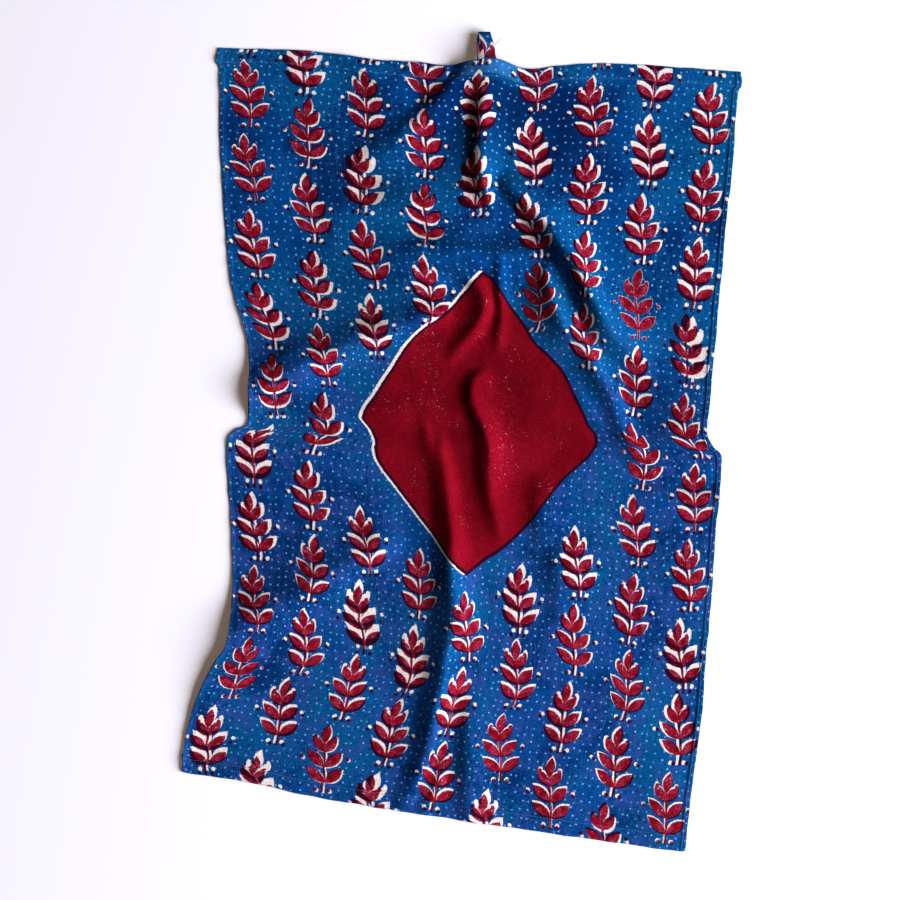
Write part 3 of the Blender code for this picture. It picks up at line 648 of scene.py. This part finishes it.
# %% The tape along its path
face_z = lowest_over(FACE_FOOT_X, TAPE_WIDTH / 2) - SEWN_GAP - TAPE_THICKNESS / 2
edge_z = lowest_over(EDGE_FOOT_X, TAPE_THICKNESS) - SEWN_GAP - TAPE_WIDTH / 2
stations = (
    *((FACE_FOOT_X, y, face_z, 0) for y in FOOT_Y),
    *LOOP_FREE,
    *((EDGE_FOOT_X, y, edge_z, 90) for y in FOOT_Y[::-1]),
)
path = through(stations, LOOP_STEPS)
turn = np.radians(path[:, 3])
lean = np.stack([np.cos(turn), 0 * turn, -np.sin(turn)], axis=-1)
tangent = unit(np.gradient(path[:, :3], axis=0))
lean = unit(lean - tangent * (lean * tangent).sum(axis=1, keepdims=True))
face_up = np.cross(lean, tangent)
wide, thick = tape_profile(TAPE_POINTS)
tape = (
    path[:, None, :3]
    + lean[:, None] * (wide * TAPE_WIDTH)[:, None]
    + face_up[:, None] * (thick * TAPE_THICKNESS)[:, None]
)
run = np.concatenate([[0], np.linalg.norm(np.diff(path[:, :3], axis=0), axis=1).cumsum()])
print("loop's tape:", round(float(run[-1])), "mm")

# %% The loop's mesh
tape_uv = np.dstack(np.broadcast_arrays(wide * TAPE_WIDTH, run[:, None])) * MM
loop = mesh_object("loop_tape", tape, tube_faces(1, len(path), TAPE_POINTS), tape_uv)

# %% A loose thread at the loop's side
LOOSE_THREAD = (
    (30.2, 362.2, 9.6), (31.4, 363.6, 9.9), (32.9, 364.6, 10.0), (34.2, 365.9, 9.7),
    (35.2, 367.0, 8.9), (36.4, 367.6, 8.0),
)
LOOSE_STEPS, LOOSE_THICK, LOOSE_THIN = 4, 2.0, 0.9
thread_line = through(LOOSE_THREAD, LOOSE_STEPS)
taper = THREAD * np.linspace(LOOSE_THICK, LOOSE_THIN, len(thread_line))
loose_thread = mesh_object(
    "loose_thread",
    tubes(thread_line[None], taper[None], PROFILE_POINTS),
    tube_faces(1, len(thread_line), PROFILE_POINTS),
)

# %% [markdown]
# ## The printed cotton
# The cloth was printed by hand with wooden blocks. A paste that keeps the dye out was printed
# first, then the cloth was dipped in indigo, and madder red was printed last, a little off its
# place. So red over bare cloth is red, red over indigo is almost black, and a pale rim is left
# on one side. The material follows those steps. A small class turns Python expressions into
# shader nodes, which keeps the long sums readable.

# %% Expressions that add shader nodes
def linear(*rgb):
    """A colour as a screen shows it, from 0 to 255, as the linear colour that a shader reads."""
    part = np.array(rgb) / 255
    light = np.where(part <= 0.04045, part / 12.92, ((part + 0.055) / 1.055) ** 2.4)
    return (*light, 1.0)


class Finish:
    """The node tree of one material."""

    def __init__(self, name):
        self.material = bpy.data.materials.new(name)
        self.material.use_nodes = True
        self.tree = self.material.node_tree
        self.shader = self.tree.nodes["Principled BSDF"]

    def put(self, socket, value):
        """A number, a colour or a link into a socket."""
        if isinstance(value, Number):
            self.tree.links.new(value.socket, socket)
        else:
            socket.default_value = value

    def node(self, kind, settings=None, sockets=None, output=0):
        """Adds a node: its settings first, then its sockets. Gives one output as a Number."""
        made = self.tree.nodes.new(kind)
        for key, value in (settings or {}).items():
            setattr(made, key, value)
        for key, value in (sockets or {}).items():
            self.put(made.inputs[key], value)
        return Number(self, made.outputs[output])

    def maths(self, operation, *values):
        return self.node("ShaderNodeMath", {"operation": operation}, dict(enumerate(values)))

    def noise(self, vector, scale, detail=2.0, roughness=0.5):
        """Smooth noise from 0 to 1 on a vector of mm, scale being the number of blobs a mm."""
        return self.node(
            "ShaderNodeTexNoise",
            {"noise_dimensions": "2D"},
            {"Vector": vector, "Scale": scale, "Detail": detail, "Roughness": roughness},
        )

    def mix(self, share, first, second, blend="MIX"):
        """A colour between two, by a share from 0 to 1."""
        settings = {"data_type": "RGBA", "blend_type": blend}
        return self.node("ShaderNodeMix", settings, {0: share, 6: first, 7: second}, output=2)

    def vector(self, x, y):
        return self.node("ShaderNodeCombineXYZ", None, {0: x, 1: y})


class Number:
    """A shader socket that takes part in sums: each operator adds its Math node."""

    def __init__(self, finish, socket):
        self.finish, self.socket = finish, socket

    def sibling(self, output):
        """Another output of the same node."""
        return Number(self.finish, self.socket.node.outputs[output])

    def operator(operation, swapped=False):
        """A method that adds the Math node of one operation."""
        def method(self, *others):
            values = (*others, self) if swapped else (self, *others)
            return self.finish.maths(operation, *values)
        return method

    __add__, __radd__ = operator("ADD"), operator("ADD", swapped=True)
    __sub__, __rsub__ = operator("SUBTRACT"), operator("SUBTRACT", swapped=True)
    __mul__, __rmul__ = operator("MULTIPLY"), operator("MULTIPLY", swapped=True)
    __truediv__, __pow__ = operator("DIVIDE"), operator("POWER")
    __abs__, floor, sine = operator("ABSOLUTE"), operator("FLOOR"), operator("SINE")
    repeat, most, least = operator("FLOORED_MODULO"), operator("MAXIMUM"), operator("MINIMUM")

    def step(self, low, high):
        """0 at low and 1 at high, smooth between. Low may be the larger."""
        settings = {"interpolation_type": "SMOOTHSTEP"}
        sockets = {0: self, 1: low, 2: high, 3: 0.0, 4: 1.0}
        return self.finish.node("ShaderNodeMapRange", settings, sockets)


# %% Motifs of the print, in mm of cloth
SPRIG_PITCH_ACROSS, SPRIG_PITCH_ALONG = 56.0, 74.0
LOZENGE_HALF_WIDTH, LOZENGE_HALF_LENGTH = 128.0, 150.0
LOZENGE_CENTRE, LOZENGE_BOW, LOZENGE_STEP = (250.0, 385.0), 1.14, 96.0
# Leaves of a sprig: where the leaf starts along the stem, its angle, its length, its half width
LEAVES = ((-22.0, 52.0, 23.0, 5.0), (-7.0, 47.0, 23.0, 5.2), (8.0, 38.0, 19.0, 4.6),
          (16.0, 0.0, 20.0, 4.6))
# Berries of a sprig: along the stem, beside it, radius
BERRIES = ((-30.0, 6.5, 1.9), (23.0, 9.5, 1.8), (2.0, 22.0, 1.7))
STEM_HALF_WIDTH, STEM_BEND, STEM_MIDDLE, STEM_HALF_LENGTH = 1.1, 2.6, -7.0, 25.0
STEM_WAVE = 0.07
# How far a sprig lies off its place across and along, in mm, and its turn as a slope
OFF_ACROSS, OFF_ALONG, OFF_TURN = 2.4, 3.0, 0.22
# How far the red block missed across and along, in mm: the usual range and the least, and
# the farthest
MISS_ACROSS, MISS_ALONG, FAR_MISS = (3.2, 1.3), (3.4, 2.1), 26.0
# Threads of the weave: their pitch in mm, and their height in metres
WARP_PITCH, WEFT_PITCH, WEAVE_DEPTH = 0.62, 0.66, 0.00026


def leaf(along, beside, start, angle, length, half_width):
    """Distance inside a leaf: its half width, a parabola along its length, less the distance
    from its midrib."""
    cos, sin = math.cos(math.radians(angle)), math.sin(math.radians(angle))
    share = ((along - start) * cos + beside * sin) / length
    away = beside * cos - (along - start) * sin
    return share * (1 - share) * (4 * half_width) - abs(away)


def sprig(beside, along):
    """Distance inside a sprig: the largest of its leaves and berries, in pairs on both sides
    of a bent stem, and of the stem itself."""
    side = abs(beside + (along * STEM_WAVE).sine() * STEM_BEND)
    inside = (STEM_HALF_WIDTH - side).least(STEM_HALF_LENGTH - abs(along - STEM_MIDDLE))
    for row in LEAVES:
        inside = inside.most(leaf(along, side, *row))
    for place, out, radius in BERRIES:
        inside = inside.most(radius - ((along - place) ** 2.0 + (side - out) ** 2.0) ** 0.5)
    return inside


def lozenge(x, y):
    """Distance inside a lozenge with slightly bowed sides, in mm."""
    across, along = abs(x) / LOZENGE_HALF_WIDTH, abs(y) / LOZENGE_HALF_LENGTH
    return (1 - (across**LOZENGE_BOW + along**LOZENGE_BOW)) * LOZENGE_STEP


print(len(LEAVES), "pairs of leaves and", len(BERRIES), "pairs of berries to a sprig")

# %% The cloth's colours
# The darkest indigo is used only as painted shade under the top hem around the loop
INDIGO_PAINTED_SHADE = linear(3, 38, 80)
INDIGO_DEEP = linear(4, 50, 94)
INDIGO_MID = linear(7, 68, 117)
INDIGO_TEAL = linear(10, 81, 121)
# Pale indigo: real wear along the warp and at the edges, and also a painted highlight on the hem's
# lip at the loop
INDIGO_WORN_AND_LIT = linear(52, 98, 140)
INDIGO_VIOLET = linear(46, 70, 124)
DOT = linear(118, 152, 194)
MADDER = linear(118, 18, 38)
MADDER_DEEP = linear(92, 6, 24)
BARE_COTTON = linear(186, 178, 178)
MADDER_BRICK = linear(140, 50, 82)
OVERPRINT = linear(50, 15, 38)
print("deep indigo as linear light:", [round(float(part), 3) for part in INDIGO_DEEP[:3]])

# %% The dyed ground
DOT_PITCH, DOT_SCATTER = 8.0, 0.52
# Middle of the loop along the hem, as the cloth is cut
LOOP_PLACE = 268.0


def dyed_ground(f, u, v, raw_u, raw_v, threads, streak, cloud):
    """Colour of the indigo ground: deep and pale clouds of dye, worn streaks along the warp,
    violet patches towards the foot, painted shade under the top hem around the loop, and a
    painted highlight on the hem's lifted lip at the loop."""
    teal = f.noise(f.vector(u + 700.0, v), 0.009, 3.0)
    patch = f.noise(f.vector(u * 0.05, v * 0.02), 1.0, 2.0)
    violet = f.noise(f.vector(u, v + 900.0), 0.045, 4.0, 0.65) + threads * 0.4
    worn = (streak + threads * 0.4).step(0.44, 0.80) * patch.step(0.44, 0.66)
    from_loop = raw_u - LOOP_PLACE
    # Painted shade: a darker patch under the top hem around the loop, where the folds' shade falls
    painted_shade_below_hem = raw_v.step(735, 724) * raw_v.step(620, 705) * abs(from_loop - 10.0).step(125, 50)
    # Painted highlight: a paler band on the top hem's lifted lip around the loop
    painted_lip_highlight = raw_v.step(733.5, 735.5) * abs(from_loop).step(44, 26)
    ground = f.mix(cloud.step(0.38, 0.60), INDIGO_DEEP, INDIGO_MID)
    for share, colour in (
        ((teal + threads * 0.5).step(0.45, 0.66) * 0.85, INDIGO_TEAL),
        (worn * 0.5, INDIGO_WORN_AND_LIT),
        (violet.step(0.42, 0.68) * raw_v.step(560, 400) * 0.8, INDIGO_VIOLET),
        (painted_shade_below_hem * 0.8, INDIGO_PAINTED_SHADE),
        (painted_lip_highlight * 0.6, INDIGO_WORN_AND_LIT),
    ):
        ground = f.mix(share, ground, colour)
    return ground


def dots(f, cloth, threads):
    """Small pale dots, one somewhere in each cell of a grid, some fainter than others."""
    cells = f.node(
        "ShaderNodeTexVoronoi",
        {"voronoi_dimensions": "2D"},
        {"Vector": cloth, "Scale": 1 / DOT_PITCH, "Randomness": DOT_SCATTER},
    )
    return (cells + threads * 0.05).step(0.17, 0.06) * (cells.sibling("Color") * 0.7 + 0.25)


# %% The two blocks
def missed_by(luck, usual, least):
    """How far in mm the red block missed its place: mostly little, now and then a lot."""
    return luck * usual + luck * luck * luck * FAR_MISS + least


def sprig_blocks(f, u, v, ragged):
    """Where the sprigs are bare of indigo and where they are red. They stand in a half drop,
    each a little off its place and turned, and none lies in the lozenge."""
    i = (u / SPRIG_PITCH_ACROSS).floor()
    drop = i.repeat(2.0) * (SPRIG_PITCH_ALONG / 2)
    j = ((v + drop) / SPRIG_PITCH_ALONG).floor()
    centre_u = (i + 0.5) * SPRIG_PITCH_ACROSS
    centre_v = (j + 0.5) * SPRIG_PITCH_ALONG - drop
    chance = f.node(
        "ShaderNodeTexWhiteNoise",
        {"noise_dimensions": "2D"},
        {"Vector": f.vector(i, j)},
        output="Color",
    )
    parts = f.node("ShaderNodeSeparateColor", None, {0: chance})
    luck = [parts.sibling(k) - 0.5 for k in range(3)]
    x = u - centre_u + luck[0] * OFF_ACROSS
    y = v - centre_v + luck[1] * OFF_ALONG
    turn = luck[2] * OFF_TURN
    turned_x, turned_y = x + y * turn, y - x * turn
    red_x = turned_x + missed_by(luck[1], *MISS_ACROSS)
    red_y = turned_y + missed_by(luck[0], *MISS_ALONG)
    outside = lozenge(centre_u - LOZENGE_CENTRE[0], centre_v - LOZENGE_CENTRE[1]).step(-19, -23)
    bare = (sprig(turned_x, turned_y) + ragged * 0.45).step(-0.6, 0.3) * outside
    return bare, (sprig(red_x, red_y) + ragged * 0.5).step(-0.5, 0.4) * outside


def lozenge_blocks(u, v, ragged):
    """Where the lozenge is bare, where it is red, and its dark outline."""
    x, y = u - LOZENGE_CENTRE[0], v - LOZENGE_CENTRE[1]
    inside = lozenge(x, y)
    bare = (lozenge(x + 3.0, y - 1.0) + ragged * 0.5).step(-0.7, 0.5)
    red = (inside + ragged * 0.5).step(-0.4, 0.6)
    return bare, red, (1.6 - abs(inside - 1.4 + ragged * 0.3)).step(-0.4, 0.4)


# %% The whole finish
def printed_cotton(name, shift_across=0.0, shift_along=0.0):
    """Cotton with the whole print, read from the UV map and shifted by some mm."""
    f = Finish(name)
    place = f.node("ShaderNodeUVMap", {"uv_map": "threads"})
    split = f.node("ShaderNodeSeparateXYZ", None, {0: place})
    raw_u, raw_v = split * 1000.0, split.sibling(1) * 1000.0
    u, v = raw_u + shift_across, raw_v + shift_along
    cloth = f.vector(u, v)

    cloud = f.noise(cloth, 0.013, 4.0, 0.6)
    streak = f.noise(f.vector(u * 0.9, v * 0.022), 1.0, 3.0, 0.65)
    grain = f.noise(f.vector(u, v * 0.7), 1.1, 3.0, 0.8)
    weft_slub = f.noise(f.vector(u * 0.16, v * 1.25), 1.0, 2.0, 0.6) - 0.5
    warp_slub = f.noise(f.vector(u * 1.25 + 90.0, v * 0.13), 1.0, 2.0, 0.6) - 0.5
    threads = weft_slub + warp_slub
    ragged = (f.noise(cloth, 0.42, 4.0, 0.8) - 0.5) * 3.6 + threads * 1.6

    bare, red = sprig_blocks(f, u, v, ragged)
    big_bare, big_red, outline = lozenge_blocks(u, v, ragged)
    bare, red = bare.most(big_bare), red.most(big_red)

    blotch = f.noise(cloth, 0.13, 2.0)
    flakes = f.noise(cloth, 0.5, 4.0, 0.75)
    worn_off = f.noise(f.vector(u - 300.0, v), 0.024, 2.0).step(0.50, 0.62)
    flaked = (flakes + threads * 0.15).step(0.63, 0.69) * blotch.step(0.46, 0.64) * worn_off
    chipped = (flakes + threads * 0.3).step(0.63, 0.71) * blotch.step(0.40, 0.60) * (1 - big_red)
    red = red * (1 - flaked * 0.6) * (1 - chipped * 0.45)

    ground = dyed_ground(f, u, v, raw_u, raw_v, threads, streak, cloud)
    colour = f.mix(dots(f, cloth, threads) * (1 - bare), ground, DOT)
    colour = f.mix(bare, colour, BARE_COTTON)
    madder = f.mix((cloud * 0.6 + grain * 0.5).step(0.36, 0.72), MADDER_DEEP, MADDER)
    brick = (blotch * 0.5 + grain * 0.5).step(0.42, 0.62) * (1 - big_red)
    madder = f.mix(brick * 0.6, madder, MADDER_BRICK)
    colour = f.mix(red, colour, f.mix(bare * (1 - outline), OVERPRINT, madder))

    edge_u = raw_u.least(FLAT_WIDTH - raw_u)
    edge_v = raw_v.least(FLAT_LENGTH - raw_v)
    rubbed = edge_u.least(edge_v).step(1.6, 0.2) * grain.step(0.35, 0.65)
    colour = f.mix(rubbed * 0.35, colour, INDIGO_WORN_AND_LIT)
    tone = (grain - 0.5) * 0.5 + (streak - 0.5) * 0.25 + threads * 0.75 + 1.0
    grey = f.node("ShaderNodeCombineColor", None, {0: tone, 1: tone, 2: tone})
    f.put(f.shader.inputs["Base Color"], f.mix(1.0, colour, grey, blend="MULTIPLY"))

    warp = (u * (2 * math.pi / WARP_PITCH)).sine()
    weft = (v * (2 * math.pi / WEFT_PITCH)).sine()
    weave = warp * weft * 0.5 + grain * 0.5 + threads * 1.6
    bump = f.node(
        "ShaderNodeBump", None, {"Strength": 0.5, "Distance": WEAVE_DEPTH, "Height": weave}
    )
    f.put(f.shader.inputs["Normal"], bump)
    f.put(f.shader.inputs["Roughness"], grain * 0.12 + 0.80)
    f.shader.inputs["Specular IOR Level"].default_value = 0.03
    print(name, "has", len(f.tree.nodes), "nodes")
    return f.material


towel.data.materials.append(printed_cotton("printed_cotton"))
loop.data.materials.append(printed_cotton("loop_cotton", 86.0, 150.0))

# %% Sewing thread
def sewing_thread():
    """Dull blue cotton thread, whose twist shows as fine slanting lines."""
    f = Finish("sewing_thread")
    spot = f.node("ShaderNodeTexCoord", None, None, output=3)
    twist = f.node("ShaderNodeTexNoise", None, {"Vector": spot, "Scale": 2600.0, "Detail": 1.0})
    f.put(f.shader.inputs["Base Color"], f.mix(twist, linear(38, 71, 113), linear(93, 126, 164)))
    f.put(f.shader.inputs["Roughness"], twist * 0.1 + 0.75)
    return f.material


thread_finish = sewing_thread()
for piece in (stitches, loose_thread):
    piece.data.materials.append(thread_finish)

# %% [markdown]
# ## Table, light and camera
# The towel lies on a white table, seen from straight above. A wide soft light, low on the right
# and a little towards the viewer, draws the folds, and a dim warm room fills the shade. The
# table also glows a little in a warm colour. This is painted fill light that keeps the shadows
# on it pale and brownish. The view's high contrast look then deepens the shade in the cloth.

# %% Table
# The table's warm glow is painted fill light that keeps the shadows on it pale and brown
TABLE_SIZE, TABLE_ROUGHNESS, TABLE_GLOSS, TABLE_PAINTED_FILL = 6.0, 0.9, 0.1, 0.13
TABLE_WHITE, PAINTED_FILL_COLOUR = (0.46, 0.475, 0.545, 1.0), (1.0, 0.76, 0.60, 1.0)
bpy.ops.mesh.primitive_plane_add(size=TABLE_SIZE)
table = bpy.context.object
table.name = "table"
f = Finish("table_white")
for socket, value in (
    ("Base Color", TABLE_WHITE),
    ("Emission Color", PAINTED_FILL_COLOUR),
    ("Emission Strength", TABLE_PAINTED_FILL),
    ("Roughness", TABLE_ROUGHNESS),
    ("Specular IOR Level", TABLE_GLOSS),
):
    f.shader.inputs[socket].default_value = value
table.data.materials.append(f.material)
print("table", TABLE_SIZE, "m wide")

# %% Light
KEY_AZIMUTH, KEY_ELEVATION, KEY_DISTANCE = math.radians(-14), math.radians(31), 4.2
KEY_SIZE, KEY_POWER, KEY_COLOUR = 3.3, 525.0, (0.97, 0.985, 1.0)
ROOM_STRENGTH, ROOM_COLOUR = 0.10, (1.0, 0.80, 0.64, 1.0)
lamp = bpy.data.lights.new("window", "AREA")
lamp.size, lamp.energy, lamp.color = KEY_SIZE, KEY_POWER, KEY_COLOUR
flat_reach = KEY_DISTANCE * math.cos(KEY_ELEVATION)
window = bpy.data.objects.new("window", lamp)
window.location = (
    flat_reach * math.cos(KEY_AZIMUTH),
    flat_reach * math.sin(KEY_AZIMUTH),
    KEY_DISTANCE * math.sin(KEY_ELEVATION),
)
window.rotation_euler = (-window.location).to_track_quat("-Z", "Y").to_euler()
bpy.context.scene.collection.objects.link(window)
world = bpy.data.worlds.new("pale_room")
world.use_nodes = True
room = world.node_tree.nodes["Background"]
room.inputs["Color"].default_value = ROOM_COLOUR
room.inputs["Strength"].default_value = ROOM_STRENGTH
bpy.context.scene.world = world
bpy.context.scene.view_settings.view_transform = "Standard"
bpy.context.scene.view_settings.look = "High Contrast"
print("lamp", round(window.location.z, 2), "m above the table")

# %% Camera
VIEW_WIDTH, VIEW_HEIGHT = 0.825, 2.0
VIEW_CENTRE = (-0.0105, -0.0073)
SENSOR = 36.0
camera = bpy.data.cameras.new("camera")
camera.sensor_width = SENSOR
camera.lens = SENSOR * VIEW_HEIGHT / VIEW_WIDTH
viewer = bpy.data.objects.new("camera", camera)
viewer.location = (*VIEW_CENTRE, VIEW_HEIGHT)
bpy.context.scene.collection.objects.link(viewer)
bpy.context.scene.camera = viewer
print("lens", round(camera.lens, 1), "mm")

# %% [markdown]
# ## One body
# Every piece is tied to the one body of the towel, and the solids that the cloth and its tape
# stand for are hidden.

# %% Tie each piece to the body, and hide the solids
for piece, node, slot in ((towel, "towel_cloth", "printed_cotton"),
                          (loop, "hanging_loop", "loop_cotton")):
    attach(piece, "root")
    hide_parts(node)
for piece, slot in ((stitches, "printed_cotton"), (loose_thread, "loop_cotton")):
    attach(piece, "root")
